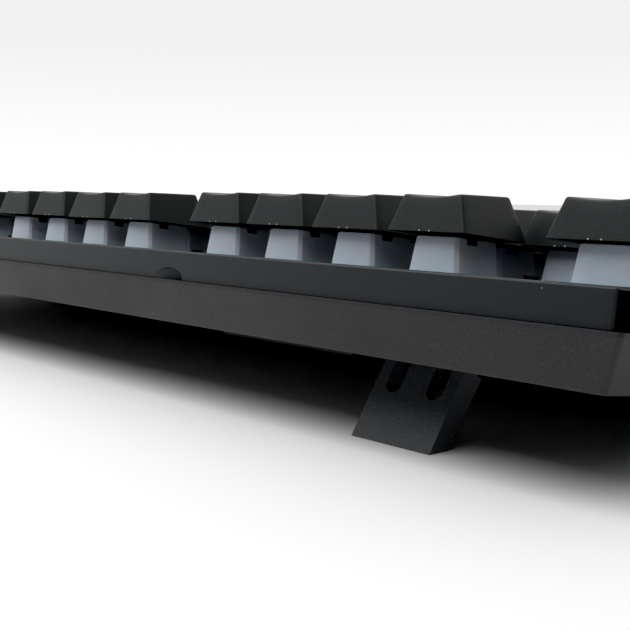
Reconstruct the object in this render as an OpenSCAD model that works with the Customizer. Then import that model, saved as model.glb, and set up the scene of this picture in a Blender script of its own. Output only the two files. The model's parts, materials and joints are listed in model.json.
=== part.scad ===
// Mechanical keyboard with floating keys, a folded top plate and flip-out feet.
// It stands on its front pads and its unfolded feet: the floor is z = 0, +Y is the rear edge with
// the cable socket, -Y is the typist's side, and the origin is the middle of its footprint.
// Inside placed(), z = 0 is the top of the switch plate and y = 0 the middle of the key field.

/* [Layout] */
// Key pitch, one unit
unit = 19.05; // [18.5:0.05:19.5]
// Gap between the groups of the function row, in units
group_gap = 0.6667; // [0.6:0.0001:0.67]
// Gap between the main block and the navigation keys, in units
block_gap = 0.25; // [0.25:0.05:0.5]

/* [Top plate] */
// Plate thickness
plate_t = 1.5; // [1.2:0.1:1.6]
// Height of the plate's folded edge
fold_h = 5.7; // [5:0.1:6]
// Plate beyond the keys at the rear
rear_margin = 6.9; // [5:0.1:9]
// Plate beyond the keys at the front
front_margin = 3; // [2:0.1:5]
// Plate beyond the keys at the ends
side_margin = 0.1; // [0.1:0.1:3]
// Thickness of the soft strips on the plate's ends
strip_t = 0.7; // [0.5:0.1:1]

/* [Bottom case] */
// Lip of the case outside the plate, front and rear
lip_y = 1.4; // [1:0.1:2]
// Lip of the case outside the plate, at the ends
lip_x = 2.2; // [1.5:0.1:3]
// Depth of the case's underside below the plate's top
case_depth = 14; // [14:0.1:15.5]
// Inward lean of the front and rear walls over their height
lean_y = 1.8; // [1:0.1:2]
// Inward lean of the end walls over their height
lean_x = 2.6; // [1.5:0.1:2.8]
// Floor thickness
floor_t = 2.6; // [2.2:0.1:2.8]

/* [Keycaps] */
// Gap between neighbouring caps
cap_gap = 2.25; // [1:0.05:3]
// Cap depth at its skirt
cap_d = 16.3; // [15.5:0.1:17.5]
// Skirt height above the plate
cap_z = 6.42; // [6.3:0.02:7]
// Cap height at its rear edge
cap_rear_h = 6.23; // [6.2:0.01:7]
// Cap height at its front edge
cap_front_h = 7.5; // [7:0.01:8]
// Cap wall thickness
cap_wall = 1.1; // [1:0.1:1.2]
// Depth of the finger dish
dish_sag = 0.5; // [0.3:0.05:0.6]

/* [Switches] */
// Key travel
travel = 3.8; // [3:0.1:3.8]
// Top of the switch's upper housing above the plate
switch_top = 6.15; // [6:0.05:6.2]
// Plate top to circuit board top
board_drop = 5; // [4.8:0.1:5.2]

/* [Feet] */
// Foot width
foot_w = 18; // [14:0.5:20]
// Foot length from its pivot to its toe
foot_l = 19; // [16:0.5:19]
// Lean of the unfolded foot from the deck's normal
foot_lean = 26; // [22:1:27]
// Distance of each foot's middle from the keyboard's middle
foot_x = 127.8; // [110:0.1:140]

/* [Hidden] */
$fn = 40;
eps = 0.01;

// Key field
block_units = 15;
field_units = block_units + block_gap + 3;
field_w = field_units * unit;
field_d = 6 * unit;

// Outline of the plate
plate_w = field_w + 2 * side_margin;
plate_d = field_d + rear_margin + front_margin;
plate_y = (rear_margin - front_margin) / 2;
plate_corner = 0.5;
strip_top = -0.35;

// Outline of the case
case_w = plate_w + 2 * lip_x;
case_d = plate_d + 2 * lip_y;
case_corner = 0.8;
lip_h = 0.7;
crease_z = -fold_h - lip_h;
edge_round = 0.25;
case_wall = 2.4;
cavity_z = -case_depth + floor_t;
cavity_corner = 1.5;
board_margin = 3;
board_t = 1.6;
board_z = -board_drop - board_t;

// Keys: rows counted from the rear, places in units from the left edge
row_widths = [
    [],
    [for (i = [0 : 13]) i < 13 ? 1 : 2],
    [for (i = [0 : 13]) i == 0 || i == 13 ? 1.5 : 1],
    [for (i = [0 : 12]) i == 0 ? 1.75 : i == 12 ? 2.25 : 1],
    [for (i = [0 : 11]) i == 0 ? 2.25 : i == 11 ? 2.75 : 1],
    [for (i = [0 : 7]) i == 3 ? 6.25 : 1.25]
];
space_index = 3;
function sum_to(list, n) = n <= 0 ? 0 : list[n - 1] + sum_to(list, n - 1);
// A key is [x of its middle in units, row, width in units]
function row_keys(row) = [
    for (i = [0 : len(row_widths[row]) - 1])
        if (row < 5 || i != space_index)
            [sum_to(row_widths[row], i) + row_widths[row][i] / 2, row, row_widths[row][i]]
];
function function_key(n) = n == 0
    ? [0.5, 0, 1]
    : [0.5 + n + group_gap * (1 + floor((n - 1) / 4)), 0, 1];
space_key = [
    sum_to(row_widths[5], space_index) + row_widths[5][space_index] / 2, 5, row_widths[5][space_index]
];
nav_x = block_units + block_gap + 0.5;
navigation_keys = concat(
    [for (row = [0 : 2], i = [0 : 2]) [nav_x + i, row, 1]],
    [[nav_x + 1, 4, 1]],
    [for (i = [0 : 2]) [nav_x + i, 5, 1]]
);

// Keys that move alone, then those that move as a row
solo_names = concat(["escape"], [for (n = [1 : 12]) str("f", n)], ["space"]);
solo_keys = concat([for (n = [0 : 12]) function_key(n)], [space_key]);
row_names = ["number_row", "upper_row", "home_row", "lower_row", "bottom_row", "navigation"];
row_sets = concat([for (row = [1 : 5]) row_keys(row)], [navigation_keys]);
all_keys = concat(solo_keys, [for (set = row_sets) each set]);

// Stabilizers stand beside the switch of every key of 2 units or more
stabilizer_x = 11.94;
space_stabilizer_x = 50;
stabilizer_hole = [6.6, 12.4];
stabilizer_body = [6, 11.6];
stabilizer_well = [4.6, 5.4];
stabilizer_foot = [4.2, 5];
stabilizer_top = 2.4;
function stabilizer_reach(w) = w >= 6 ? space_stabilizer_x : w >= 2 ? stabilizer_x : 0;
wide_keys = [for (key = all_keys) if (stabilizer_reach(key[2]) > 0) key];

// Switch
switch_hole = 14;
switch_body = 13.85;
flange_w = 15.6;
flange_h = 0.3;
housing_base = [10.9, 10.9];
housing_top = [9.2, 10.5];
slider = [7.1, 5.5];
slider_gap = 0.15;
slider_bottom = 0.6;
slider_roof = 5;
well_floor = -3.8;
cross_l = 4;
cross_t = 1.17;
cross_gap = 0.05;
cross_top = switch_top + 3.55;
spring_r = 2.2;
spring_wall = 0.4;
spring_gap = 0.3;
post_r = 1.95;
light_y = 3.9;
light_r = 0.9;
pin_r = 0.5;
pin_places = [[-3.81, 2.54], [2.54, 5.08]];
latch_y = 1.75;
latch_w = 2.1;
latch_x = 4;
arm_t = 0.55;
arm_top = 5.2;
hook_t = 1.05;
hook_z = 5.1;
hook_top = 6;
leaf_x = 3.7;
leaf_t = 0.2;
leaf_w = 3;
chip = [7, 7, 0.9];
chip_place = [9.5 + group_gap, 1.5, 1];
diode = [1.6, 0.8, 0.6];
diode_y = -6.5;

// Keycap
cap_side_inset = 2.45;
cap_rear_inset = 0.85;
cap_front_inset = 2.53;
cap_roof = 1.6;
cap_post_r = 2.75;
cap_post_z = 0.15;

// Screws between the keys, as places in units and rows
screw_places = [
    [1 + group_gap / 2, 0], [5 + 1.5 * group_gap, 0], [9 + 2.5 * group_gap, 0], [15.125, 0],
    [1.5625, 3], [15.125, 3], [1.25, 5], [11.25, 5], [15.125, 5]
];
screw_r = 1.2;
screw_head_r = 2.2;
screw_head_h = 0.45;
screw_socket_r = 1.1;
screw_socket_h = 0.7;
screw_l = 9;
boss_r = 3;

// Foot and its pocket
pivot_y = 43.85;
pivot_z = -12.6;
foot_face = 1.6;
foot_plate_t = 2;
foot_rib_t = 1.8;
foot_rib_d = 2.6;
foot_barrel_r = 2;
foot_arm_w = 2.6;
slot_w = 3.5;
slot_l = 9.8;
peg_r = 1.2;
peg_gap = 0.06;
peg_l = 1.3;
pocket_side = 0.5;
pocket_rear = 2.95;
pocket_front = 20.8;
pocket_roof_z = -9.4;
pocket_wall = 1.8;
pocket_roof_t = 1.4;

// Pads
pad_w = 40;
pad_d = 9;
pad_t = 2.3;
front_pad_y = -50;
rear_pad_y = 40;
rear_pad_d = 6;
pad_x = 120;
rear_pad_x = 86;

// Socket in the rear wall
socket_x = 20;
socket_w = 8.94;
socket_h = 3.2;
socket_l = 7.3;
socket_z = board_z - socket_h / 2 - 0.05;
socket_face_y = plate_y + plate_d / 2 - 1.6;

// Release notches in the plate's folded edge
notch_x = 74.1;
notch_w = 9.1;
notch_h = 2.3;

// Standing attitude: the toe of each foot and the middle of the front pads touch the floor
toe_y = pivot_y + foot_l * sin(foot_lean) + foot_face * cos(foot_lean);
toe_z = pivot_z - foot_l * cos(foot_lean) + foot_face * sin(foot_lean);
pad_z = -case_depth - pad_t;
tilt = atan((pad_z - toe_z) / (toe_y - front_pad_y));
lift = -(toe_y * sin(tilt) + toe_z * cos(tilt));
rear_reach = (plate_y + case_d / 2) * cos(tilt) - crease_z * sin(tilt);
front_reach = (plate_y - case_d / 2) * cos(tilt) + fold_h * sin(tilt);
centring = -(rear_reach + front_reach) / 2;

// Stands its children, drawn in the deck's frame, on the floor
module placed() {
    translate([0, centring, lift]) rotate([tilt, 0, 0]) children();
}

// Moves its children to the middle of a key
module at_key(key) {
    translate([(key[0] - field_units / 2) * unit, field_d / 2 - (key[1] + 0.5) * unit, 0]) children();
}

module at_keys(keys) {
    for (key = keys) at_key(key) children();
}

// Both stabilizer places of a wide key
module at_stabilizers(key) {
    at_key(key) for (side = [-1, 1]) translate([side * stabilizer_reach(key[2]), 0, 0]) children();
}

// Box with x and y centred, between two heights
module block(w, d, z0, z1) {
    translate([-w / 2, -d / 2, z0]) cube([w, d, z1 - z0]);
}

// Flat rounded rectangle, exact arcs at its corners
module rounded_rect(w, d, r) {
    square([w - 2 * r, d], center = true);
    square([w, d - 2 * r], center = true);
    for (x = [-1, 1], y = [-1, 1]) translate([x * (w / 2 - r), y * (d / 2 - r)]) circle(r);
}

// Solid whose side views are two outlines: one seen along Y, one seen along X
module two_outlines(front, side, w, d) {
    intersection() {
        translate([0, d / 2, 0]) rotate([90, 0, 0]) linear_extrude(d) polygon(front);
        translate([-w / 2, 0, 0]) rotate([90, 0, 90]) linear_extrude(w) polygon(side);
    }
}

module slab(w, d, r, z) {
    translate([0, plate_y, z]) linear_extrude(eps) rounded_rect(w, d, r);
}

module case_shell() {
    hull($fn = 32) {
        slab(case_w, case_d, case_corner, crease_z - eps);
        slab(case_w - 2 * lean_x, case_d - 2 * lean_y, case_corner, -case_depth + edge_round);
        slab(case_w - 2 * lean_x - 2 * edge_round, case_d - 2 * lean_y - 2 * edge_round,
             case_corner - edge_round, -case_depth);
    }
    translate([0, plate_y, crease_z - eps])
        linear_extrude(lip_h + eps) rounded_rect(case_w, case_d, case_corner);
}

module foot_pocket() {
    translate([-foot_w / 2 - pocket_side, pivot_y - pocket_front, -case_depth - 1])
        cube([foot_w + 2 * pocket_side, pocket_front + pocket_rear, case_depth + 1 + pocket_roof_z]);
    translate([-foot_w / 2 - peg_l - 0.2, pivot_y, pivot_z])
        rotate([0, 90, 0]) cylinder(r = peg_r + peg_gap, h = foot_w + 2 * peg_l + 0.4);
}

module foot_pocket_walls() {
    translate([
        -foot_w / 2 - pocket_side - pocket_wall, pivot_y - pocket_front - pocket_wall, cavity_z - eps
    ])
        cube([
            foot_w + 2 * pocket_side + 2 * pocket_wall, pocket_front + pocket_rear + 2 * pocket_wall,
            pocket_roof_z + pocket_roof_t - cavity_z
        ]);
}

// Rounded slot through the rear wall for the plug
module socket_opening() {
    translate([socket_x, socket_face_y + 8, socket_z]) rotate([90, 0, 0])
        linear_extrude(16) rounded_rect(socket_w + 0.6, socket_h + 0.5, (socket_h + 0.5) / 2 - eps);
}

module bottom_case() {
    color("#3a3d40") placed() difference() {
        union() {
            difference() {
                case_shell();
                translate([0, plate_y, cavity_z]) linear_extrude(case_depth)
                    rounded_rect(plate_w - 2 * case_wall, plate_d - 2 * case_wall, cavity_corner);
            }
            for (side = [-1, 1]) translate([side * foot_x, 0, 0]) foot_pocket_walls();
            at_keys(screw_places)
                translate([0, 0, cavity_z - eps]) cylinder(r = boss_r, h = -plate_t - cavity_z + eps);
        }
        for (side = [-1, 1]) translate([side * foot_x, 0, 0]) foot_pocket();
        at_keys(screw_places)
            translate([0, 0, -plate_t - screw_l]) cylinder(r = screw_r + 0.05, h = screw_l + 1);
        socket_opening();
    }
}

// Half-round release notch through the folded edge, open at its lower side
module release_notch() {
    translate([0, plate_y + plate_d / 2 + 1, -fold_h]) rotate([90, 0, 0])
        linear_extrude(plate_t + 2) intersection() {
            translate([0, notch_h - notch_w / 2 - 3]) circle(notch_w / 2 + 3, $fn = 64);
            translate([-notch_w / 2, -1]) square([notch_w, notch_h + 1]);
        }
}

module top_plate() {
    color("#2a2e30") placed() difference() {
        translate([0, plate_y, -fold_h])
            linear_extrude(fold_h) rounded_rect(plate_w, plate_d, plate_corner);
        translate([-plate_w / 2 + plate_t, plate_y - plate_d / 2 + plate_t, -fold_h - 1])
            cube([plate_w - 2 * plate_t, plate_d - 2 * plate_t, fold_h + 1 - plate_t]);
        translate([0, 0, -plate_t - 1]) linear_extrude(plate_t + 2) {
            at_keys(all_keys) square(switch_hole, center = true);
            for (key = wide_keys) at_stabilizers(key) square(stabilizer_hole, center = true);
            at_keys(screw_places) circle(screw_r + 0.1);
        }
        for (side = [-1, 1]) translate([side * notch_x, 0, 0]) release_notch();
    }
}

// Soft strips glued to the plate's end flanges, just below its top
module end_strips() {
    color("#0b0b0c") placed() for (side = [-1, 1])
        translate([side * (plate_w + strip_t) / 2, plate_y, 0])
            block(strip_t, plate_d - 2 * plate_corner, -fold_h, strip_top);
}

module circuit_board() {
    color("#16402c") placed() translate([0, plate_y, board_z]) linear_extrude(board_t) difference() {
        rounded_rect(plate_w - 2 * board_margin, plate_d - 2 * board_margin, 1);
        translate([0, -plate_y]) {
            at_keys(all_keys) {
                circle(post_r + 0.1);
                for (place = pin_places) translate(place) circle(pin_r + 0.1);
            }
            at_keys(screw_places) circle(boss_r + 0.3);
        }
    }
}

module controller_chip() {
    color("#15171a") placed() at_key(chip_place) block(chip[0], chip[1], board_z - chip[2], board_z);
}

module matrix_diodes() {
    color("#2b1d1a") placed() at_keys(all_keys)
        translate([0, diode_y, 0]) block(diode[0], diode[1], board_z - diode[2], board_z);
}

module usb_socket() {
    color("silver") placed()
        translate([socket_x, socket_face_y, socket_z]) rotate([90, 0, 0]) {
            linear_extrude(socket_l) difference() {
                rounded_rect(socket_w, socket_h, socket_h / 2 - eps);
                rounded_rect(socket_w - 0.6, socket_h - 0.6, socket_h / 2 - 0.3 - eps);
            }
            translate([0, 0, 1.2]) linear_extrude(socket_l - 1.2) square([6.7, 0.7], center = true);
            translate([0, 0, socket_l - 1])
                linear_extrude(1) rounded_rect(socket_w - 0.5, socket_h - 0.5, socket_h / 2 - 0.25 - eps);
        }
}

module switch_base() {
    difference() {
        union() {
            block(switch_body, switch_body, -board_drop, eps);
            block(flange_w, flange_w, 0, flange_h);
            translate([0, 0, board_z - 1.1]) cylinder(r = post_r, h = board_t + 1.2);
            for (side = [-1, 1]) translate([side * latch_x, -side * latch_y, 0]) {
                translate([side * arm_t / 2, 0, 0]) block(arm_t, latch_w, 0, arm_top);
                translate([side * hook_t / 2, 0, 0]) block(hook_t, latch_w, hook_z, hook_top);
            }
        }
        block(slider[0] + 2 * slider_gap + 0.5, 6.6, well_floor, flange_h + 1);
        translate([0, light_y, -board_drop - 1]) cylinder(r = light_r + 0.1, h = board_drop + 3);
        for (place = pin_places) translate([place[0], place[1], -board_drop - 1])
            cylinder(r = pin_r + 0.05, h = board_drop + 1 + well_floor);
    }
    translate([0, 0, well_floor - eps]) cylinder(r = 1.5, h = 2.8);
}

module switch_bases() {
    color("#1b1c1e") placed() at_keys(all_keys) switch_base();
}

module switch_cover() {
    difference() {
        two_outlines(
            [[-housing_base[0] / 2, flange_h], [housing_base[0] / 2, flange_h],
             [housing_top[0] / 2, switch_top], [-housing_top[0] / 2, switch_top]],
            [[-housing_base[1] / 2, flange_h], [housing_base[1] / 2, flange_h],
             [housing_top[1] / 2, switch_top], [-housing_top[1] / 2, switch_top]],
            20, 20);
        block(slider[0] + 2 * slider_gap + 0.3, slider[1] + 2 * slider_gap + 1.6, 0, slider_roof);
        block(slider[0] + 2 * slider_gap, slider[1] + 2 * slider_gap, 0, switch_top + 1);
        translate([0, light_y, 0]) block(2.4, 2.2, 0, 3.4);
        for (side = [-1, 1]) translate([side * (latch_x - 0.1), -side * latch_y, 0]) {
            translate([side * (arm_t + 0.2) / 2, 0, 0]) block(arm_t + 0.2, latch_w + 0.2, 0, switch_top + 1);
            translate([side * 2, 0, 0]) block(4, latch_w + 0.2, hook_z - 0.1, switch_top + 1);
        }
    }
}

module switch_covers() {
    color("#cfd8e2", 0.8) placed() at_keys(all_keys) switch_cover();
}

module switch_springs() {
    color("silver") placed() at_keys(all_keys)
        translate([0, 0, well_floor]) difference() {
            cylinder(r = spring_r, h = slider_roof - travel - well_floor - 0.1);
            translate([0, 0, -1]) cylinder(r = spring_r - spring_wall, h = 20);
        }
}

module switch_contacts() {
    color("#b87333") placed() at_keys(all_keys) {
        translate([leaf_x + leaf_t / 2, 0, 0]) block(leaf_t, leaf_w, well_floor, flange_h);
        for (place = pin_places) translate([place[0], place[1], board_z - 1])
            cylinder(r = pin_r, h = well_floor - board_z + 1);
    }
}

module key_lights() {
    color("white") placed() at_keys(all_keys)
        translate([0, light_y, -board_drop]) cylinder(r = light_r, h = board_drop + 2.8);
}

module stabilizer_housings() {
    color("#1b1c1e") placed() for (key = wide_keys) at_stabilizers(key) difference() {
        block(stabilizer_body[0], stabilizer_body[1], -board_drop, stabilizer_top);
        block(stabilizer_well[0], stabilizer_well[1], -board_drop + 0.7, stabilizer_top + 1);
    }
}

module stabilizer_wires() {
    wire_r = 0.7;
    wire_y = -8.75;
    wire_z = wire_r + 0.05;
    color("silver") placed() for (key = wide_keys) at_key(key) {
        reach = stabilizer_reach(key[2]);
        translate([-reach, wire_y, wire_z]) rotate([0, 90, 0]) cylinder(r = wire_r, h = 2 * reach, $fn = 16);
        for (side = [-1, 1]) translate([side * reach, wire_y, wire_z]) {
            rotate([-90, 0, 0]) cylinder(r = wire_r, h = -wire_y - 5.9, $fn = 16);
            sphere(wire_r, $fn = 16);
        }
    }
}

module case_screws() {
    color("#1c1d1f") placed() at_keys(screw_places) difference() {
        union() {
            translate([0, 0, eps]) cylinder(r = screw_head_r, h = screw_head_h);
            translate([0, 0, -plate_t - screw_l + 1]) cylinder(r = screw_r, h = plate_t + screw_l);
        }
        translate([0, 0, screw_head_h - screw_socket_h])
            cylinder(r = screw_socket_r, h = screw_socket_h + 1, $fn = 6);
    }
}

// Rubber pads, cut level with the floor where they carry the keyboard
module front_pads() {
    color("#191a1b") difference() {
        placed() for (side = [-1, 1])
            translate([side * pad_x, front_pad_y, 0])
                block(pad_w, pad_d, -case_depth - pad_t - 1, -case_depth);
        translate([-200, -100, -10]) cube([400, 200, 10]);
    }
}

module rear_pads() {
    color("#191a1b") placed() for (side = [-1, 1])
        translate([side * rear_pad_x, rear_pad_y, 0])
            block(pad_w, rear_pad_d, -case_depth - pad_t, -case_depth);
}

// Height of the floor line in the foot's own frame, at a place across its thickness
function toe_line(y) = -foot_l + (foot_face - y) * tan(foot_lean + tilt);

module foot() {
    plate_y0 = foot_face - foot_plate_t;
    rib_y0 = plate_y0 - foot_rib_d;
    translate([0, pivot_y, pivot_z]) rotate([foot_lean, 0, 0]) {
        difference() {
            union() {
                translate([-foot_w / 2, 0, 0]) rotate([90, 0, 90]) linear_extrude(foot_w) polygon([
                    [foot_face, 0], [foot_face, toe_line(foot_face)],
                    [plate_y0, toe_line(plate_y0)], [plate_y0, 0]
                ]);
                translate([-foot_w / 2, 0, 0]) rotate([0, 90, 0]) cylinder(r = foot_barrel_r, h = foot_w);
            }
            for (side = [-1, 1]) translate([side * (foot_w / 2 - foot_arm_w - slot_w / 2), 5, 0])
                rotate([90, 0, 0]) {
                    translate([-slot_w / 2, -slot_l + slot_w / 2, 0]) cube([slot_w, slot_l + 3, 10]);
                    translate([0, -slot_l + slot_w / 2, 0]) cylinder(r = slot_w / 2, h = 10);
                }
        }
        for (side = [-1, 1]) {
            translate([side * (foot_w / 2 - foot_rib_t / 2) - foot_rib_t / 2, 0, 0])
                rotate([90, 0, 90]) linear_extrude(foot_rib_t) polygon([
                    [plate_y0 + eps, -3], [rib_y0, -3], [rib_y0 + 1, toe_line(rib_y0 + 1)],
                    [plate_y0 + eps, toe_line(plate_y0 + eps)]
                ]);
            translate([side * (foot_w / 2 + peg_l / 2) - peg_l / 2 - eps, 0, 0])
                rotate([0, 90, 0]) cylinder(r = peg_r, h = peg_l + 2 * eps);
        }
    }
}

module foot_left() {
    color("#232528") placed() translate([-foot_x, 0, 0]) foot();
}

module foot_right() {
    color("#232528") placed() translate([foot_x, 0, 0]) foot();
}

// Cross that a cap fits on, or its slot with a gap
module cross(gap, z0, z1) {
    block(cross_l + 2 * gap, cross_t + 2 * gap, z0, z1);
    block(cross_t + 2 * gap, cross_l + 2 * gap, z0, z1);
}

module keycap(w_units) {
    w = w_units * unit - cap_gap;
    mid_h = (cap_rear_h + cap_front_h) / 2;
    slope = cap_side_inset / mid_h;
    top_h = cap_front_h + 1;
    top_w = w - 2 * cap_side_inset;
    dish_r = (top_w * top_w / 4 + dish_sag * dish_sag) / (2 * dish_sag);
    top_lean = atan((cap_front_h - cap_rear_h) / (cap_d - cap_rear_inset - cap_front_inset));
    reach = stabilizer_reach(w_units);
    translate([0, 0, cap_z]) {
        difference() {
            two_outlines(
                [[-w / 2, 0], [w / 2, 0], [w / 2 - slope * top_h, top_h], [-w / 2 + slope * top_h, top_h]],
                [[-cap_d / 2, 0], [cap_d / 2, 0], [cap_d / 2 - cap_rear_inset, cap_rear_h],
                 [-cap_d / 2 + cap_front_inset, cap_front_h]],
                w + 2, cap_d + 2);
            two_outlines(
                [[-w / 2 + cap_wall, -1], [w / 2 - cap_wall, -1],
                 [w / 2 - cap_wall - slope * top_h, top_h], [-w / 2 + cap_wall + slope * top_h, top_h]],
                [[-cap_d / 2 + cap_wall, -1], [cap_d / 2 - cap_wall, -1],
                 [cap_d / 2 - cap_rear_inset - cap_wall, cap_rear_h - cap_roof],
                 [-cap_d / 2 + cap_front_inset + cap_wall, cap_front_h - cap_roof]],
                w + 2, cap_d + 2);
            if (w_units < 6)
                translate([0, 0, mid_h - dish_sag + dish_r]) rotate([90 - top_lean, 0, 0])
                    translate([0, 0, -20]) cylinder(r = dish_r, h = 40, $fn = 96);
        }
        for (x = reach > 0 ? [-reach, 0, reach] : [0]) translate([x, 0, 0]) difference() {
            translate([0, 0, cap_post_z]) cylinder(r = cap_post_r, h = mid_h - cap_roof + 0.6 - cap_post_z);
            cross(cross_gap, -1, cross_top + 0.1 - cap_z);
        }
    }
}

module stem(w_units) {
    difference() {
        block(slider[0], slider[1], slider_bottom, switch_top);
        cylinder(r = spring_r + spring_gap, h = slider_roof);
    }
    cross(0, switch_top - eps, cross_top);
    reach = stabilizer_reach(w_units);
    if (reach > 0) for (side = [-1, 1]) translate([side * reach, 0, 0]) {
        block(stabilizer_foot[0], stabilizer_foot[1], 0, switch_top);
        cross(0, switch_top - eps, cross_top);
    }
}

module keycaps(keys) {
    color("#2b2f31") placed() for (key = keys) at_key(key) keycap(key[2]);
}

module stems(keys) {
    color("#1f3a5f") placed() for (key = keys) at_key(key) stem(key[2]);
}

bottom_case();
top_plate();
end_strips();
circuit_board();
controller_chip();
matrix_diodes();
usb_socket();
switch_bases();
switch_covers();
switch_springs();
switch_contacts();
key_lights();
stabilizer_housings();
stabilizer_wires();
case_screws();
front_pads();
rear_pads();
foot_left();
foot_right();
for (i = [0 : len(solo_names) - 1]) {
    keycaps([solo_keys[i]]);
    stems([solo_keys[i]]);
}
for (i = [0 : len(row_names) - 1]) {
    keycaps(row_sets[i]);
    stems(row_sets[i]);
}
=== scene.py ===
import json
import math

import bmesh
import bpy
import numpy as np
from mathutils import Matrix


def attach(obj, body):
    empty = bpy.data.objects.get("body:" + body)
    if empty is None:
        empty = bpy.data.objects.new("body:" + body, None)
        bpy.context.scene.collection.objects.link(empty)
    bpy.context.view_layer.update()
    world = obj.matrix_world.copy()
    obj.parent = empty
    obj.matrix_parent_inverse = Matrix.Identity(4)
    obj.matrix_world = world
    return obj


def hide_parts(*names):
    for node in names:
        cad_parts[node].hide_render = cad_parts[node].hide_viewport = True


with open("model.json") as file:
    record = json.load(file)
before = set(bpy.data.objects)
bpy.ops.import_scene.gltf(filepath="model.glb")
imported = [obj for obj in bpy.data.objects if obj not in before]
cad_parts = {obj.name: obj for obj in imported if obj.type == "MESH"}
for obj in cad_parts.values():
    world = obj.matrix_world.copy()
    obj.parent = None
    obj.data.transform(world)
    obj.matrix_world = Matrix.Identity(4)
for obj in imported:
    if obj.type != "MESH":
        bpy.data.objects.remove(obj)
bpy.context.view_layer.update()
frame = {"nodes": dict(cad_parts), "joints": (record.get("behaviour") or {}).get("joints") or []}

# Studio: a white laminate table with a softbox over its rear, in front of a bright wall. The room on
# the camera's side is dim, so the keyboard's dark sides keep soft gradients and its shadow is deep.


def linear(code):
    """sRGB hex to linear RGBA: below 0.04045 a straight line, above it a power of 2.4."""
    s = np.array([int(code[i:i + 2], 16) for i in (1, 3, 5)]) / 255
    rgb = np.where(s <= 0.04045, s / 12.92, ((s + 0.055) / 1.055) ** 2.4)
    return (*rgb.tolist(), 1.0)


def add(tree, kind, inputs=None, **settings):
    """Adds a node, sets its properties, then its inputs: a socket is linked, a value is stored."""
    made = tree.nodes.new(kind)
    for key, value in settings.items():
        setattr(made, key, value)
    for key, value in (inputs or {}).items():
        if isinstance(value, bpy.types.NodeSocket):
            tree.links.new(value, made.inputs[key])
        else:
            made.inputs[key].default_value = value
    return made


def new_material(name):
    """An empty node material of that name, with its tree."""
    material = bpy.data.materials.new(name)
    material.use_nodes = True
    material.node_tree.nodes.clear()
    return material, material.node_tree


def shade(tree, **inputs):
    """Principled surface with these inputs, wired to the material's output."""
    names = {k: k.replace("_", " ") for k in inputs}
    surface = add(tree, "ShaderNodeBsdfPrincipled", {names[k]: v for k, v in inputs.items()})
    add(tree, "ShaderNodeOutputMaterial", {"Surface": surface.outputs[0]})
    return surface


laminate, tree = new_material("melamine laminate, matt white")
shade(tree, Base_Color=linear("#f4f3f4"), Roughness=0.55)
bpy.ops.mesh.primitive_plane_add(size=12)
floor = bpy.context.object
floor.name = "table"
floor.data.materials.append(laminate)

VIEW_FROM = (-0.24727, 0.17752, 0.04091)
VIEW_RIGHT = np.array([-0.66504, -0.74671, 0.01180])
VIEW_AHEAD = np.array([0.74119, -0.66189, -0.11197])
camera = bpy.data.objects.new("camera", bpy.data.cameras.new("camera"))
bpy.context.scene.collection.objects.link(camera)
camera.data.sensor_width = 36
camera.data.lens = 60.12
camera.data.clip_start = 0.005
turn = np.eye(4)
turn[:3, 0] = VIEW_RIGHT
turn[:3, 1] = np.cross(VIEW_RIGHT, VIEW_AHEAD)
turn[:3, 2] = -VIEW_AHEAD
turn[:3, 3] = VIEW_FROM
camera.matrix_world = Matrix(turn.tolist())
bpy.context.scene.camera = camera
tone = bpy.context.scene.view_settings
tone.view_transform = "Standard"
tone.use_curve_mapping = True
tone.curve_mapping.black_level = (0.005, 0.005, 0.005)

sky = bpy.data.worlds.new("studio")
bpy.context.scene.world = sky
sky.use_nodes = True
tree = sky.node_tree
tree.nodes.clear()
direction = add(tree, "ShaderNodeTexCoord").outputs["Generated"]
ahead = add(tree, "ShaderNodeVectorMath",
            {0: direction, 1: (0.745, -0.667, 0.0)}, operation="DOT_PRODUCT").outputs["Value"]
glow = add(tree, "ShaderNodeMapRange",
           {"Value": ahead, "From Min": -0.45, "From Max": 0.8, "To Min": 0.02, "To Max": 1.15},
           interpolation_type="SMOOTHSTEP").outputs["Result"]
height = add(tree, "ShaderNodeSeparateXYZ", {0: direction}).outputs["Z"]
top = add(tree, "ShaderNodeMapRange",
          {"Value": height, "From Min": 0.35, "From Max": 0.95, "To Min": 0.0, "To Max": 0.9},
          interpolation_type="SMOOTHSTEP").outputs["Result"]
lit = add(tree, "ShaderNodeMath", {0: glow, 1: top}, operation="MAXIMUM").outputs[0]
wall = add(tree, "ShaderNodeMapRange",
           {"Value": height, "From Min": 0.0, "From Max": 0.13, "To Min": 1.05, "To Max": 0.89}).outputs[0]
seen = add(tree, "ShaderNodeLightPath").outputs["Is Camera Ray"]
level = add(tree, "ShaderNodeMix", {0: seen, 2: lit, 3: wall}, data_type="FLOAT").outputs[0]
room = add(tree, "ShaderNodeBackground", {"Color": (1, 1, 1, 1), "Strength": level})
add(tree, "ShaderNodeOutputWorld", {"Surface": room.outputs[0]})

softbox = bpy.data.lights.new("softbox", "AREA")
softbox.shape = "RECTANGLE"
softbox.size, softbox.size_y = 0.9, 0.6
softbox.energy = 3.9
lamp = bpy.data.objects.new("softbox", softbox)
bpy.context.scene.collection.objects.link(lamp)
lamp.location = (0.07, 0.37, 0.6)
lamp.rotation_euler = (math.radians(-30), 0, 0)

# Bottom case: one tub of ABS, moulded against a spark-eroded steel mould, with a floor, four leaning
# walls and a small lip at their top that the plate drops into. Edges of the tub are rounded in the mould.


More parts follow.
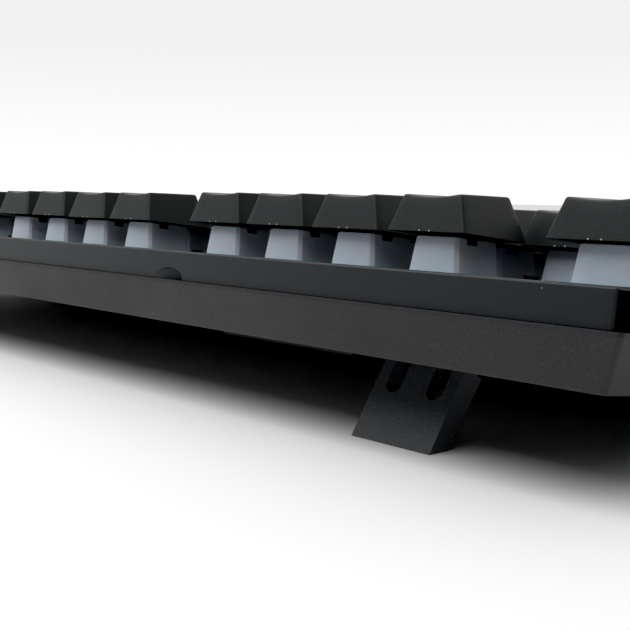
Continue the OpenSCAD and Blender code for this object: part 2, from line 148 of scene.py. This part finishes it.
def eroded_plastic(name, colour, grain_mm, depth_mm, roughness, speck, specular):
    """Moulded plastic with a spark-eroded skin: craters of about grain_mm, and paler crests, painted
    glints standing in for the sparkle of light on the grain, whose share of the colour is speck."""
    material, tree = new_material(name)
    place = add(tree, "ShaderNodeTexCoord").outputs["Object"]
    craters = add(tree, "ShaderNodeTexVoronoi", {"Vector": place, "Scale": 1000 / grain_mm},
                  feature="SMOOTH_F1").outputs["Distance"]
    pores = add(tree, "ShaderNodeTexNoise",
                {"Vector": place, "Scale": 1000 / grain_mm * 0.6, "Detail": 3.0, "Roughness": 0.7}
                ).outputs["Fac"]
    relief = add(tree, "ShaderNodeMath", {0: craters, 1: pores, 2: pores},
                 operation="MULTIPLY_ADD").outputs[0]
    bump = add(tree, "ShaderNodeBump",
               {"Height": relief, "Strength": 1.0, "Distance": depth_mm / 1000}).outputs[0]
    wear = add(tree, "ShaderNodeTexNoise", {"Vector": place, "Scale": 45.0, "Detail": 4.0}).outputs["Fac"]
    dull = add(tree, "ShaderNodeMapRange",
               {"Value": wear, "From Min": 0.35, "From Max": 0.65,
                "To Min": roughness - 0.04, "To Max": roughness + 0.05}).outputs[0]
    base = linear(colour)
    # painted highlight: a paler copy of the colour, laid on the crests of the pores as glints of light on
    # the grain
    pale = tuple(min(1, 3.2 * c) for c in base[:3]) + (1,)
    painted_glint = add(tree, "ShaderNodeMapRange",
                {"Value": pores, "From Min": 0.5, "From Max": 0.72, "To Min": 0.0, "To Max": speck}
                ).outputs[0]
    tint = add(tree, "ShaderNodeMix", {0: painted_glint, 6: base, 7: pale}, data_type="RGBA").outputs[2]
    shade(tree, Base_Color=tint, Roughness=dull, Normal=bump, IOR=1.53, Specular_IOR_Level=specular)
    return material


def finish_node(name, material, edge_mm=0.0, angle=30):
    """Gives a CAD node its material and, if asked, rounds its edges that are sharper than the angle."""
    node = frame["nodes"][name]
    node.data.materials.clear()
    node.data.materials.append(material)
    if edge_mm:
        weld = node.modifiers.new("weld", "WELD")
        weld.merge_threshold = 1e-6
        flat = node.modifiers.new("flat", "DECIMATE")
        flat.decimate_type = "DISSOLVE"
        flat.angle_limit = math.radians(1)
        rounding = node.modifiers.new("rounding", "BEVEL")
        rounding.width = edge_mm / 1000
        rounding.segments = 3
        rounding.limit_method = "ANGLE"
        rounding.angle_limit = math.radians(angle)


case_abs = eroded_plastic("ABS, moulded, spark-eroded charcoal", "#16171a", 0.22, 0.035, 0.5, 0.9, 0.38)
finish_node("bottom_case", case_abs, 0.2, 25)

# Deck frame: the plane of the switch plate, which leans back on the feet. Its origin is the middle of
# the key field on top of the plate, +X to the typist's right and +Y to the rear, in millimetres.
down = next(j for j in frame["joints"] if j["name"] == "press_f1")["axis"]
tilt = math.atan2(down[1], -down[2])
DECK = np.array([[1, 0, 0], [0, math.cos(tilt), -math.sin(tilt)], [0, math.sin(tilt), math.cos(tilt)]])


def node_points(name):
    """A CAD node's points turned level with the deck, in metres."""
    mesh = frame["nodes"][name].data
    flat = np.empty(len(mesh.vertices) * 3, np.float32)
    mesh.vertices.foreach_get("co", flat)
    return flat.reshape(-1, 3).astype(float) @ DECK


def middle(name):
    """Middle of a CAD node's box, level with the deck, in metres."""
    points = node_points(name)
    return (points.min(0) + points.max(0)) / 2


ORIGIN = np.array([0, (middle("keycap_f1")[1] + middle("keycap_space")[1]) / 2,
                   node_points("top_plate")[:, 2].max()])


def deck_box(name):
    """Lowest and highest corner of a CAD node in the deck frame, in millimetres."""
    points = (node_points(name) - ORIGIN) * 1000
    return points.min(0), points.max(0)


# Top plate: 1.5 mm sheet steel, punched for the switches, its four edges folded down on the tub's lip
# and the whole painted satin black. Two release notches in the rear flange have a tongue pressed in.


def piece(name, parts, body, slot, *materials, crease=35):
    """One object from parts, each (points in the deck frame, faces, material number): doubles merged,
    faces turned outwards, smooth up to the crease angle, in its place in the row frame."""
    points, faces, which, start = [], [], [], 0
    for part_points, part_faces, number in parts:
        points.append(part_points)
        faces += (part_faces + start).tolist()
        which += [number] * len(part_faces)
        start += len(part_points)
    mesh = bpy.data.meshes.new(name)
    placed = (np.concatenate(points) / 1000 + ORIGIN) @ DECK.T
    mesh.from_pydata(placed.tolist(), [], faces)
    mesh.polygons.foreach_set("material_index", which)
    work = bmesh.new()
    work.from_mesh(mesh)
    bmesh.ops.remove_doubles(work, verts=work.verts, dist=2e-6)
    bmesh.ops.recalc_face_normals(work, faces=work.faces)
    work.to_mesh(mesh)
    work.free()
    mesh.polygons.foreach_set("use_smooth", np.ones(len(mesh.polygons), bool))
    mesh.set_sharp_from_angle(angle=math.radians(crease))
    for material in materials:
        mesh.materials.append(material)
    made = bpy.data.objects.new(name, mesh)
    bpy.context.scene.collection.objects.link(made)
    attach(made, body)
    return made


def net(rows, columns, closed=True):
    """Quads of a grid of points stored row by row. A closed grid joins each row's last point to its
    first."""
    i = np.arange(rows - 1)[:, None] * columns
    j = np.arange(columns if closed else columns - 1)[None, :]
    k = (j + 1) % columns
    return np.stack([i + j, i + k, i + columns + k, i + columns + j], -1).reshape(-1, 4)


UNIT = 19.05
GROUP_GAP = 0.6667
BLOCK = 15
FIELD = BLOCK + 0.25 + 3
FUNCTION_X = [0.5] + [0.5 + n + GROUP_GAP * (1 + (n - 1) // 4) for n in range(1, 13)]
ROWS = {
    "number_row": [("` 1 2 3 4 5 6 7 8 9 0 - =".split() + ["Backspace"]), [1] * 13 + [2]],
    "upper_row": [["Tab", *"QWERTYUIOP[]\\"], [1.5] + [1] * 12 + [1.5]],
    "home_row": [["Caps Lock", *"ASDFGHJKL;'", "Enter"], [1.75] + [1] * 11 + [2.25]],
    "lower_row": [["Shift", *"ZXCVBNM,./", "Shift"], [2.25] + [1] * 10 + [2.75]],
    "bottom_row": [["Ctrl", "Win", "Alt", "", "Alt", "Fn", "Menu", "Ctrl"],
                   [1.25] * 3 + [6.25] + [1.25] * 4],
}
NAVIGATION = [["PrtSc", "ScrLk", "Pause"], ["Insert", "Home", "PgUp"], ["Delete", "End", "PgDn"],
              [], ["", "↑", ""], ["←", "↓", "→"]]


def spot(x_units, row):
    """Middle of a key in the deck frame, from its place in units and its row, counted from the rear."""
    return (x_units - FIELD / 2) * UNIT, (2.5 - row) * UNIT


# each key is (x, y, width in units, legend), gathered by the body that it moves with
keys = {"key_escape": [(*spot(FUNCTION_X[0], 0), 1, "Esc")]}
for n in range(1, 13):
    keys[f"key_f{n}"] = [(*spot(FUNCTION_X[n], 0), 1, f"F{n}")]
for row, (body, (labels, widths)) in enumerate(ROWS.items(), 1):
    centres = np.cumsum(widths) - np.array(widths) / 2
    for x, width, label in zip(centres, widths, labels):
        keys.setdefault("key_space" if width > 6 else body, []).append((*spot(x, row), width, label))
keys["navigation"] = [(*spot(BLOCK + 0.75 + i, row), 1, label)
                      for row, labels in enumerate(NAVIGATION) for i, label in enumerate(labels) if label]
every_key = np.array([key[:3] for body in keys.values() for key in body])


def stabilizer_reach(width):
    return 50 if width > 6 else 11.94 if width >= 2 else 0


THICK = 1.5
FOLD_RADIUS = 0.45
PLATE_CORNER = 0.5
RIM_WIDTH = 2.0
NOTCH_X, NOTCH_HALF, NOTCH_DEEP, NOTCH_RADIUS = 74.1, 4.55, 2.3, 7.55
plate_low, plate_high = deck_box("top_plate")
holes = [(x - 7, x + 7, y - 7, y + 7) for x, y, _ in every_key]
holes += [(x + s * stabilizer_reach(w) - 3.3, x + s * stabilizer_reach(w) + 3.3, y - 6.2, y + 6.2)
          for x, y, w in every_key if stabilizer_reach(w) for s in (-1, 1)]
holes = np.array(holes)


def punched_sheet(low, high, extra_x):
    """Flat sheet between two heights with rectangular holes: a grid whose lines are every hole's edges,
    less the cells in a hole, with a wall wherever a kept cell meets a missing one."""
    xs = np.unique(np.round(np.concatenate([holes[:, :2].ravel(), [low[0], high[0]], extra_x]), 4))
    ys = np.unique(np.round(np.concatenate([holes[:, 2:].ravel(), [low[1], high[1]]]), 4))
    cx, cy = np.meshgrid((xs[1:] + xs[:-1]) / 2, (ys[1:] + ys[:-1]) / 2, indexing="ij")
    inside = ((cx[..., None] > holes[:, 0]) & (cx[..., None] < holes[:, 1])
              & (cy[..., None] > holes[:, 2]) & (cy[..., None] < holes[:, 3])).any(-1)
    gx, gy = np.meshgrid(xs, ys, indexing="ij")
    flat = np.stack([gx, gy], -1).reshape(-1, 2)
    count = len(flat)
    points = np.concatenate([np.c_[flat, np.zeros(count)], np.c_[flat, np.full(count, -THICK)]])
    number = np.arange(count).reshape(len(xs), len(ys))
    i, j = np.nonzero(~inside)
    cell = np.stack([number[i, j], number[i + 1, j], number[i + 1, j + 1], number[i, j + 1]], -1)
    i, j = np.nonzero(inside[1:] != inside[:-1])
    across = np.stack([number[i + 1, j], number[i + 1, j + 1]], -1)
    i, j = np.nonzero(inside[:, 1:] != inside[:, :-1])
    along = np.stack([number[i, j + 1], number[i + 1, j + 1]], -1)
    edge = np.concatenate([across, along])
    walls = np.stack([edge[:, 0], edge[:, 1], edge[:, 1] + count, edge[:, 0] + count], -1)
    return points, np.concatenate([cell, cell + count, walls]), xs, ys


def folded_rim(low, high, xs, ys, drop):
    """The sheet's fold and flange: one profile carried round the sheet's edge. Along a side a point stands
    its distance out from the base line; at a corner it stands on an arc whose radius is what is left of
    that distance past the point where the corner starts to turn. The lower end is raised at a notch."""
    turn = np.linspace(0, math.pi / 2, 6)
    sides = []
    for side, base in enumerate(([(high[0], y) for y in ys], [(x, high[1]) for x in xs[::-1]],
                                 [(low[0], y) for y in ys[::-1]], [(x, low[1]) for x in xs])):
        start = side * math.pi / 2
        straight = np.array([math.cos(start), math.sin(start)])
        diagonal = straight + (-straight[1], straight[0])
        arc = np.c_[np.cos(start + turn), np.sin(start + turn)]
        count = len(base)
        sides.append(np.c_[base, np.repeat([straight], count, 0), np.zeros((count, 3))])
        sides.append(np.c_[np.repeat(base[-1:], 6, 0), np.repeat([diagonal], 6, 0), arc, np.ones(6)])
    path = np.concatenate(sides)
    bend = np.linspace(0, math.pi / 2, 8)
    out, tall, cut, inner = RIM_WIDTH, FOLD_RADIUS, 0.12, 0.3
    far, near = out - tall, out - THICK
    profile = np.concatenate([
        [(0, 0, 0)], np.c_[far + tall * np.sin(bend), tall * (np.cos(bend) - 1), 0 * bend],
        [(out, -drop + cut, 1), (out - cut, -drop, 1), (near + cut, -drop, 1), (near, -drop + cut, 1)],
        np.c_[near - inner * (1 - np.cos(bend)), -THICK - inner * (1 - np.sin(bend)), 0 * bend],
        [(0, -THICK, 0)]])
    from_notch = np.abs(np.abs(path[:, 0]) - NOTCH_X)
    arc = np.sqrt(np.maximum(NOTCH_RADIUS ** 2 - from_notch ** 2, 0)) + NOTCH_DEEP - NOTCH_RADIUS
    at_rear = np.isclose(path[:, 1], high[1]) & (from_notch <= NOTCH_HALF)
    rise = np.where(at_rear, arc, 0)
    turned = np.maximum(profile[:, 0] - (out - PLATE_CORNER), 0)[None, :] * path[:, 6, None]
    reach = profile[None, :, 0] - turned
    points = np.stack([
        path[:, None, 0] + reach * path[:, None, 2] + turned * path[:, None, 4],
        path[:, None, 1] + reach * path[:, None, 3] + turned * path[:, None, 5],
        profile[None, :, 1] + profile[None, :, 2] * rise[:, None]], -1)
    rings = points.transpose(1, 0, 2)
    return rings.reshape(-1, 3), net(len(profile), len(path))


notch_x = NOTCH_X + np.concatenate([[-NOTCH_HALF - 0.002, NOTCH_HALF + 0.002],
                                    np.linspace(-NOTCH_HALF, NOTCH_HALF, 25)])
sheet_low, sheet_high = plate_low[:2] + RIM_WIDTH, plate_high[:2] - RIM_WIDTH
sheet, sheet_faces, xs, ys = punched_sheet(sheet_low, sheet_high, np.concatenate([notch_x, -notch_x]))
rim, rim_faces = folded_rim(sheet_low, sheet_high, xs, ys, -plate_low[2])

paint, tree = new_material("sheet steel, satin black powder coat")
place = add(tree, "ShaderNodeTexCoord").outputs["Object"]
orange_peel = add(tree, "ShaderNodeTexNoise",
                  {"Vector": place, "Scale": 900.0, "Detail": 2.0}).outputs["Fac"]
bump = add(tree, "ShaderNodeBump", {"Height": orange_peel, "Strength": 0.5, "Distance": 2e-5}).outputs[0]
dust = add(tree, "ShaderNodeTexVoronoi", {"Vector": place, "Scale": 260.0}).outputs["Distance"]
speck = add(tree, "ShaderNodeMapRange",
            {"Value": dust, "From Min": 0.02, "From Max": 0.04, "To Min": 0.5, "To Max": 0.0}).outputs[0]
few = add(tree, "ShaderNodeTexNoise", {"Vector": place, "Scale": 60.0, "Detail": 1.0}).outputs["Fac"]
kept = add(tree, "ShaderNodeMath", {0: few, 1: 0.58}, operation="GREATER_THAN").outputs[0]
speck = add(tree, "ShaderNodeMath", {0: speck, 1: kept}, operation="MULTIPLY").outputs[0]
tint = add(tree, "ShaderNodeMix", {0: speck, 6: linear("#151b1e"), 7: linear("#9aa0a4")},
           data_type="RGBA").outputs[2]
shade(tree, Base_Color=tint, Roughness=0.42, Normal=bump, IOR=1.5, Specular_IOR_Level=0.37)



def pressed_tongue(x, edge_y, low):
    """Scoop pressed in behind a notch: a patch of the flange in two skins, level with it at the +X end
    and sinking in towards the -X end, where it stops short and leaves a dark slit. Its depth grows with
    the square of the share of the way across, and its top follows the notch's arc."""
    columns, rows = 13, 7
    share = np.repeat(np.linspace(0, 1, columns), rows)
    up = np.tile(np.linspace(0, 1, rows), columns)
    across = NOTCH_HALF * (1 - TONGUE_REACH * share)
    arc = np.sqrt(NOTCH_RADIUS ** 2 - across ** 2) + NOTCH_DEEP - NOTCH_RADIUS
    deep = TONGUE_DEEP * share ** 2 * (1 - 0.25 * up)
    front = np.c_[x + across, edge_y - 0.03 - deep, low + up * (arc + 0.15)]
    back = front - (0, TONGUE_THICK, 0)
    quads = net(columns, rows, False)
    number = np.arange(columns * rows).reshape(columns, rows)
    ring = np.concatenate([number[0], number[1:, -1], number[-1, -2::-1], number[-2:0:-1, 0]])
    after = np.roll(ring, -1)
    count = len(front)
    sides = np.stack([ring, after, after + count, ring + count], -1)
    return np.concatenate([front, back]), np.concatenate([quads, quads[:, ::-1] + count, sides])


TONGUE_DEEP, TONGUE_REACH, TONGUE_THICK = 1.9, 1.78, 0.6
parts = [(sheet, sheet_faces, 0), (rim, rim_faces, 0)]
parts += [(*pressed_tongue(side * NOTCH_X, plate_high[1], plate_low[2] + 0.02), 0) for side in (-1, 1)]
plate = piece("top_plate_painted", parts, "case", "plate_paint", paint)
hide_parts("top_plate")

# Switch housings: the upper half of each switch, moulded thin in milky polycarbonate, with its four
# corners cut off. It clips over the lower half, and the key's light shines through it.

HOUSING_FOOT = np.array([10.9, 10.9])
HOUSING_HEAD = np.array([9.2, 10.5])
HOUSING_BASE = 0.3
SLIDER = np.array([7.4, 5.8])
housing_top = deck_box("switch_covers")[1][2]


def cut_rectangle(half, cut, bead):
    """Rectangle with its corners cut off, each end of a cut softened by a bead: sixteen points."""
    a, b = half
    quarter = np.array([(a, b - cut - bead), (a - bead * 0.3, b - cut + bead * 0.3),
                        (a - cut + bead * 0.3, b - bead * 0.3), (a - cut - bead, b)])
    return np.concatenate([quarter, quarter[::-1] * (-1, 1), quarter * (-1, -1), quarter[::-1] * (1, -1)])


def housing_shell():
    """Rings from the foot of the wall up to its shoulder, over the top to the slider's opening, and down
    the inside again; each ring is a cut rectangle between the foot's size and the head's."""
    rings = []
    for share, inset, rise, cut in ((0, 0, 0, 0.7), (0.5, 0, 0, 0.65), (1, 0, -0.35, 0.63),
                                    (1, 0.1, -0.1, 0.6), (1, 0.35, 0, 0.5)):
        size = HOUSING_FOOT + (HOUSING_HEAD - HOUSING_FOOT) * (share + rise / (housing_top - HOUSING_BASE))
        z = HOUSING_BASE + (housing_top - HOUSING_BASE) * share + rise
        rings.append(np.c_[cut_rectangle(size / 2 - inset, cut, 0.12), np.full(16, z)])
    for half, z, cut in ((SLIDER / 2, housing_top, 0.3), (SLIDER / 2, housing_top - 1.2, 0.3),
                         (HOUSING_HEAD / 2 - 1.1, housing_top - 1.2, 0.6),
                         (HOUSING_FOOT / 2 - 1.1, HOUSING_BASE, 0.8)):
        rings.append(np.c_[cut_rectangle(half, cut, 0.1), np.full(16, z)])
    rings.append(rings[0])
    return np.concatenate(rings), net(len(rings), 16)


def repeat(points, faces, places):
    """The same shape at many places (x, y or x, y, z)."""
    places = np.asarray(places, float)
    if places.shape[1] == 2:
        places = np.c_[places, np.zeros(len(places))]
    many = (points[None] + places[:, None]).reshape(-1, 3)
    first = np.arange(len(places))[:, None, None] * len(points)
    return many, (faces[None] + first).reshape(-1, faces.shape[1])


clear, tree = new_material("polycarbonate, milky, moulded")
place = add(tree, "ShaderNodeTexCoord").outputs["Object"]
flow = add(tree, "ShaderNodeTexNoise", {"Vector": place, "Scale": 220.0, "Detail": 2.0}).outputs["Fac"]
bump = add(tree, "ShaderNodeBump", {"Height": flow, "Strength": 0.3, "Distance": 5e-5}).outputs[0]
tint = add(tree, "ShaderNodeMix", {0: flow, 6: linear("#cdd9e8"), 7: linear("#dfe7f2")},
           data_type="RGBA").outputs[2]
shade(tree, Base_Color=tint, Roughness=0.3, Normal=bump, IOR=1.585, Transmission_Weight=0.15,
      Subsurface_Weight=0.5, Subsurface_Scale=0.003)
shell, shell_faces = housing_shell()
covers = piece("switch_housings_clear", [(*repeat(shell, shell_faces, every_key[:, :2]), 0)], "case",
               "clear_housing", clear, crease=25)
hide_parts("switch_covers")

# Switch springs: wound from 0.26 mm spring steel wire, with turns closer together at both ends. Each
# stands on its well's floor round the stem's post, and is drawn at its length at full travel.

TURNS, WIRE = 11, 0.13


def coil_spring(radius, low, high):
    """Helix whose pitch is close at both ends and open between, with a circle of the wire's radius
    carried along it."""
    t = np.linspace(0, 1, TURNS * 10 + 1)
    climb = low + WIRE + (high - low - 2 * WIRE) * (t - 0.09 * np.sin(2 * math.pi * t))
    angle = t * TURNS * 2 * math.pi
    around = np.arange(5) * 2 * math.pi / 5
    reach = radius + WIRE * np.cos(around)[None, :]
    points = np.stack([reach * np.cos(angle)[:, None], reach * np.sin(angle)[:, None],
                       climb[:, None] + WIRE * np.sin(around)[None, :]], -1)
    return points.reshape(-1, 3), net(len(t), 5)


spring_low, spring_high = deck_box("switch_springs")
spring, spring_faces = coil_spring(2.0, spring_low[2], spring_high[2])
steel, tree = new_material("spring steel, drawn wire")
place = add(tree, "ShaderNodeTexCoord").outputs["Object"]
draw = add(tree, "ShaderNodeTexNoise", {"Vector": place, "Scale": 3000.0, "Detail": 2.0}).outputs["Fac"]
dull = add(tree, "ShaderNodeMapRange", {"Value": draw, "To Min": 0.22, "To Max": 0.4}).outputs[0]
shade(tree, Base_Color=linear("#b9bbbd"), Metallic=1.0, Roughness=dull)
springs = piece("switch_springs_wound", [(*repeat(spring, spring_faces, every_key[:, :2]), 0)], "case",
                "spring_steel", steel, crease=80)
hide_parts("switch_springs")

# Keycaps: moulded in charcoal ABS in a spark-eroded mould, with sloping walls and a dish for the finger.
# A post under each takes the stem's cross, and two bright nubs at the rear edge are the broken gate.

cap_low, cap_high = deck_box("keycap_f1")
SKIRT_Z = cap_low[2]
CAP_DEEP = cap_high[1] - cap_low[1]
CAP_GAP = UNIT - (cap_high[0] - cap_low[0])
REAR_TALL, FRONT_TALL = 6.23, 7.5
REAR_INSET, FRONT_INSET, SIDE_SLOPE = 0.85, 2.53, 2.45 / 6.865
CAP_WALL, CAP_ROOF, DISH_SAG = 1.1, 1.6, 0.5
CAP_ROUND, SHOULDER = 0.55, 0.4


def rounded_loop(side, arc):
    """Where the points of a rounded rectangle stand: multipliers of its half sizes less the corner radius,
    and of the radius. Points run along each side and then round each corner."""
    turn = np.linspace(0, math.pi / 2, arc + 1)
    run = np.linspace(-1, 1, side + 1)[:-1]
    quarters = []
    for q in range(4):
        angle = q * math.pi / 2
        c, s = math.cos(angle), math.sin(angle)
        straight = np.c_[c - s * run, s + c * run, np.full(side, c), np.full(side, s)]
        round_to = angle + turn[:-1]
        corner = np.c_[np.full(arc, c - s), np.full(arc, s + c), np.cos(round_to), np.sin(round_to)]
        quarters += [straight, corner]
    return np.concatenate(quarters)


def cap_shell(width_units, side, arc, dished=True):
    """Outer walls, rounded shoulder, dished top, and the inner walls and roof of one cap, ring by ring.
    A wall ring stands at a share of the height, which is lower at the rear than at the front."""
    loop = rounded_loop(side, arc)
    half_w = (width_units * UNIT - CAP_GAP) / 2
    rear_top, front_top = CAP_DEEP / 2 - REAR_INSET, -CAP_DEEP / 2 + FRONT_INSET
    top_half = half_w - SIDE_SLOPE * (REAR_TALL + FRONT_TALL) / 2
    dish_radius = (top_half ** 2 + DISH_SAG ** 2) / (2 * DISH_SAG)

    def top(x, y):
        plane = FRONT_TALL + (y - front_top) / (rear_top - front_top) * (REAR_TALL - FRONT_TALL)
        return plane + (np.minimum(x ** 2 / (2 * dish_radius), DISH_SAG) - DISH_SAG if dished else 0)

    def wall(share, radius, inset=0.0, roof=0.0):
        rear = CAP_DEEP / 2 - REAR_INSET * share - inset
        front = -CAP_DEEP / 2 + FRONT_INSET * share + inset
        y = (rear + front) / 2 + loop[:, 1] * ((rear - front) / 2 - radius) + loop[:, 3] * radius
        z = share * (FRONT_TALL + (y - front) / (rear - front) * (REAR_TALL - FRONT_TALL) - roof)
        x = loop[:, 0] * (half_w - inset - SIDE_SLOPE * (z + roof * share) - radius) + loop[:, 2] * radius
        return np.c_[x, y, z]

    edge = wall(1, CAP_ROUND)
    flat_z = edge[:, 2].copy()
    edge[:, 2] = top(edge[:, 0], edge[:, 1])
    below = wall(0.94, CAP_ROUND)
    below[:, 2] += (edge[:, 2] - flat_z) * 0.94
    centre = np.array([0, (rear_top + front_top) / 2])
    inner = edge.copy()
    room = np.array([top_half, (rear_top - front_top) / 2])
    inner[:, :2] = centre + (edge[:, :2] - centre) * (room - SHOULDER) / room
    inner[:, 2] = top(inner[:, 0], inner[:, 1])
    rings = [wall(0, 0.45, 0.1), wall(0.018, 0.5), wall(0.35, 0.5), wall(0.7, CAP_ROUND)]
    rings[2][:, 2] += (edge[:, 2] - flat_z) * 0.1
    rings[3][:, 2] += (edge[:, 2] - flat_z) * 0.5
    for s in np.linspace(0, 1, 6):
        rings.append((1 - s) ** 2 * below + 2 * s * (1 - s) * edge + s ** 2 * inner)
    for share in (0.85, 0.65, 0.42, 0.2, 0.0):
        ring = inner.copy()
        ring[:, :2] = centre + (inner[:, :2] - centre) * share
        ring[:, 2] = top(ring[:, 0], ring[:, 1])
        rings.append(ring)
    outer = np.concatenate(rings)
    hollow = [wall(0, 0.45, 0.1), wall(0.02, 0.4, CAP_WALL - 0.15), wall(0.6, 0.4, CAP_WALL, CAP_ROOF),
              wall(1, 0.4, CAP_WALL, CAP_ROOF)]
    roof = hollow[-1]
    for share in (0.5, 0.0):
        ring = roof.copy()
        ring[:, :2] = centre + (roof[:, :2] - centre) * share
        ring[:, 2] = ring[:, 2].mean() + (roof[:, 2] - roof[:, 2].mean()) * share
        hollow.append(ring)
    hollow = np.concatenate(hollow)
    points = np.concatenate([outer, hollow]) + (0, 0, SKIRT_Z)
    faces = net(len(rings), len(loop))
    return points, np.concatenate([faces, net(6, len(loop)) + len(outer)])


def cap_post():
    """Post under the cap: a round wall from the roof down, closed by a floor with the stem's cross cut in
    it; the cross is followed at the same bearings as the circle."""
    bearings = 48
    angle = np.arange(bearings) * 2 * math.pi / bearings
    c, s = np.cos(angle), np.sin(angle)
    arm, half = 2.05, 0.635
    reach = np.minimum(arm / np.maximum(np.abs(c), np.abs(s)), 9)
    side = half / np.maximum(np.minimum(np.abs(c), np.abs(s)), 1e-6)
    reach = np.minimum(reach, side)
    cross = np.c_[reach * c, reach * s]
    circle = np.c_[2.75 * c, 2.75 * s]
    steps = (circle, 5.6), (circle, 0.2), (cross, 0.15), (cross, 3.5), (cross * 0, 3.5)
    rings = [np.c_[outline, np.full(bearings, z)] for outline, z in steps]
    return np.concatenate(rings) + (0, 0, SKIRT_Z), net(len(rings), bearings)


def gate_nubs():
    """Two broken-off nubs on the rear edge of the skirt, each a small rough wedge of rings."""
    angle = np.arange(6) * math.pi / 3
    rings = [np.c_[r * np.cos(angle), np.full(6, y), r * 0.8 * np.sin(angle)]
             for r, y in ((0.0, -0.3), (0.24, -0.3), (0.22, 0.02), (0.1, 0.16), (0.0, 0.17))]
    one = np.concatenate(rings) + (0, CAP_DEEP / 2 - 0.1, SKIRT_Z + 0.2)
    return repeat(one, net(5, 6), [(-1.05, 0), (1.05, 0)])


cap_abs = eroded_plastic("ABS, moulded, charcoal keycap", "#0e1315", 0.18, 0.02, 0.45, 0.9, 0.3)
broken, tree = new_material("ABS, broken gate, stress-whitened")
place = add(tree, "ShaderNodeTexCoord").outputs["Object"]
torn = add(tree, "ShaderNodeTexNoise", {"Vector": place, "Scale": 6000.0, "Detail": 2.0}).outputs["Fac"]
tint = add(tree, "ShaderNodeMix", {0: torn, 6: linear("#6c7072"), 7: linear("#dfe3e6")},
           data_type="RGBA").outputs[2]
shade(tree, Base_Color=tint, Roughness=0.35)

HEIGHT = {"Esc": -0.1, "F1": 0.1, "F2": 0.0, "F3": 0.05, "F4": 0.1, "F5": -0.1}
seat = np.random.default_rng(7)
for body, members in keys.items():
    near = body.startswith("key_")
    parts = []
    for x, y, width, label in members:
        shell, shell_faces = cap_shell(width, 10 if near else 6, 5 if near else 3, width < 6)
        lift = HEIGHT.get(label, seat.uniform(-0.1, 0.1))
        parts.append((*repeat(shell, shell_faces, [(x, y, lift)]), 0))
        post, post_faces = cap_post()
        reach = stabilizer_reach(width)
        posts = [(x + dx, y, lift) for dx in ((-reach, 0, reach) if reach else (0,))]
        parts.append((*repeat(post, post_faces, posts), 0))
        nubs, nub_faces = gate_nubs()
        parts.append((*repeat(nubs, nub_faces, [(x, y, lift)]), 1))
    short = body.removeprefix("key_")
    caps = piece("caps_" + short, parts, body, "keycap_plastic", cap_abs, broken, crease=40)
    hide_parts(("keycap_" if near else "keycaps_") + short)

# Feet: moulded in the same kind of ABS as the tub, each with a spring tongue between two slots. They
# turn on pegs in the pockets of the tub's underside.
# painted light: the feet are of the same ABS as the tub but coloured paler, to stand in for light falling
# on them
foot_abs_painted_lit = eroded_plastic("ABS, moulded, spark-eroded, painted paler as lit", "#282b2e", 0.22, 0.035, 0.5, 0.9, 0.4)
for side in ("left", "right"):
    finish_node("foot_" + side, foot_abs_painted_lit, 0.5, 30)


def plain(name, colour, roughness, metallic=0.0, scale=400.0, specular=0.5):
    """A fine-grained moulded or drawn finish: colour and roughness vary slightly with a noise."""
    material, tree = new_material(name)
    place = add(tree, "ShaderNodeTexCoord").outputs["Object"]
    grain = add(tree, "ShaderNodeTexNoise",
                {"Vector": place, "Scale": scale, "Detail": 3.0}).outputs["Fac"]
    dull = add(tree, "ShaderNodeMapRange",
               {"Value": grain, "To Min": roughness - 0.08, "To Max": roughness + 0.08}).outputs[0]
    dark, pale = (tuple(min(1, share * c) for c in linear(colour)[:3]) + (1,) for share in (0.8, 1.2))
    tint = add(tree, "ShaderNodeMix", {0: grain, 6: dark, 7: pale}, data_type="RGBA").outputs[2]
    shade(tree, Base_Color=tint, Roughness=dull, Metallic=metallic, Specular_IOR_Level=specular)
    return material


for names, material in {
    ("circuit_board",): plain("glass-epoxy laminate, green solder resist", "#1d5136", 0.4),
    ("controller_chip",): plain("epoxy, transfer moulded", "#17181b", 0.5),
    ("matrix_diodes",): plain("glass diodes, tinned", "#3a2420", 0.25),
    ("usb_socket",): plain("stainless steel, deep drawn", "#b4b6b8", 0.3, 1.0),
    ("switch_bases", "stabilizer_housings"): plain("nylon, moulded black", "#1a1b1d", 0.45),
    ("switch_contacts",): plain("phosphor bronze, stamped", "#c08a55", 0.3, 1.0),
    ("key_lights",): plain("epoxy, clear light", "#dfe4e8", 0.2),
    ("stabilizer_wires",): plain("steel wire, dull zinc plated", "#77797b", 0.45, 1.0),
    ("case_screws",): plain("steel, black oxide", "#1c1d1f", 0.4, 1.0),
    ("front_pads", "rear_pads"): plain("silicone rubber, moulded", "#161718", 0.75),
    # painted shade: the end strips are made near-black and almost unreflecting, so the plate's ends come
    # out as dark as deep shade
    ("end_strips",): plain("near-black matt strip, almost unreflecting", "#040405", 0.95, specular=0.05),
}.items():
    for name in names:
        finish_node(name, material)
acetal = plain("acetal, moulded", "#2b4f8a", 0.35)
for name in frame["nodes"]:
    if name.startswith("stem"):
        finish_node(name, acetal)
